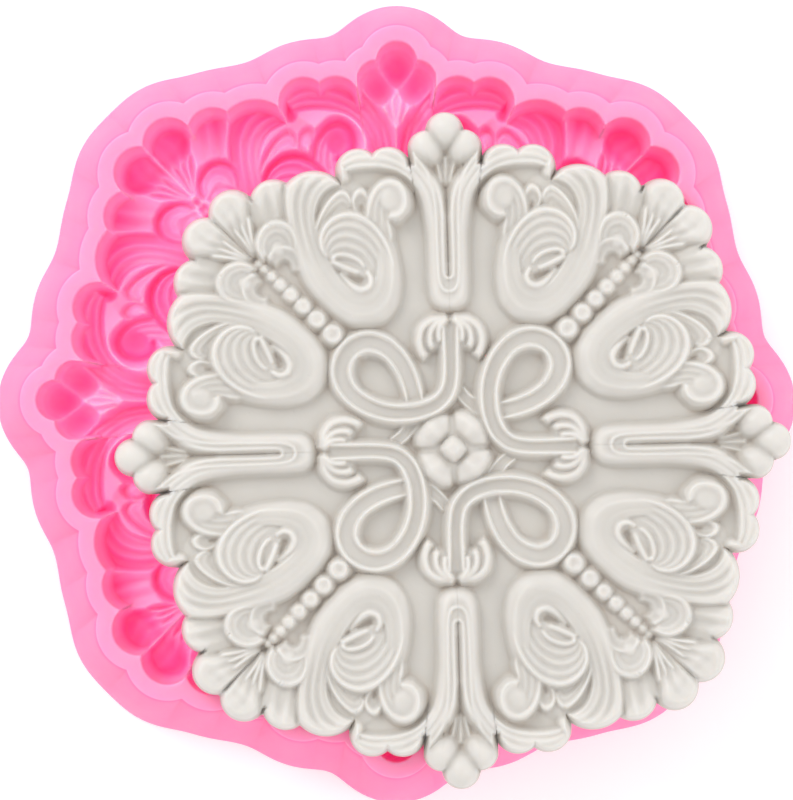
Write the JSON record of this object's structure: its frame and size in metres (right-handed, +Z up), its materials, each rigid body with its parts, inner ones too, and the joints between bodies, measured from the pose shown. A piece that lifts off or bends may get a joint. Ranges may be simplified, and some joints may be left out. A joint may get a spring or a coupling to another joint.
{
  "type": "resin casting mould",
  "caption": "One-piece silicone mould for a round baroque medallion, with the relief medallion cast from it lying on its rim.",
  "frame": {"origin": "middle of the mould's flat underside", "axes": "+Z up out of the cavity; +Y and +X along two of the mould's four arms"},
  "size_m": [0.163, 0.163, 0.026],
  "materials": {
    "silicone": "satin, slightly translucent pink silicone",
    "clay": "white cast clay, satin, finely pored"
  },
  "bodies": {
    "mould": {"silicone_mould": "silicone"},
    "casting": {"clay_casting": "clay"}
  },
  "joints": [
    {"name": "casting_lift", "type": "slide", "parent": "mould", "child": "casting", "axis": [0.7156, -0.6005, 0.3567], "range_m": [0, 0.155]}
  ]
}
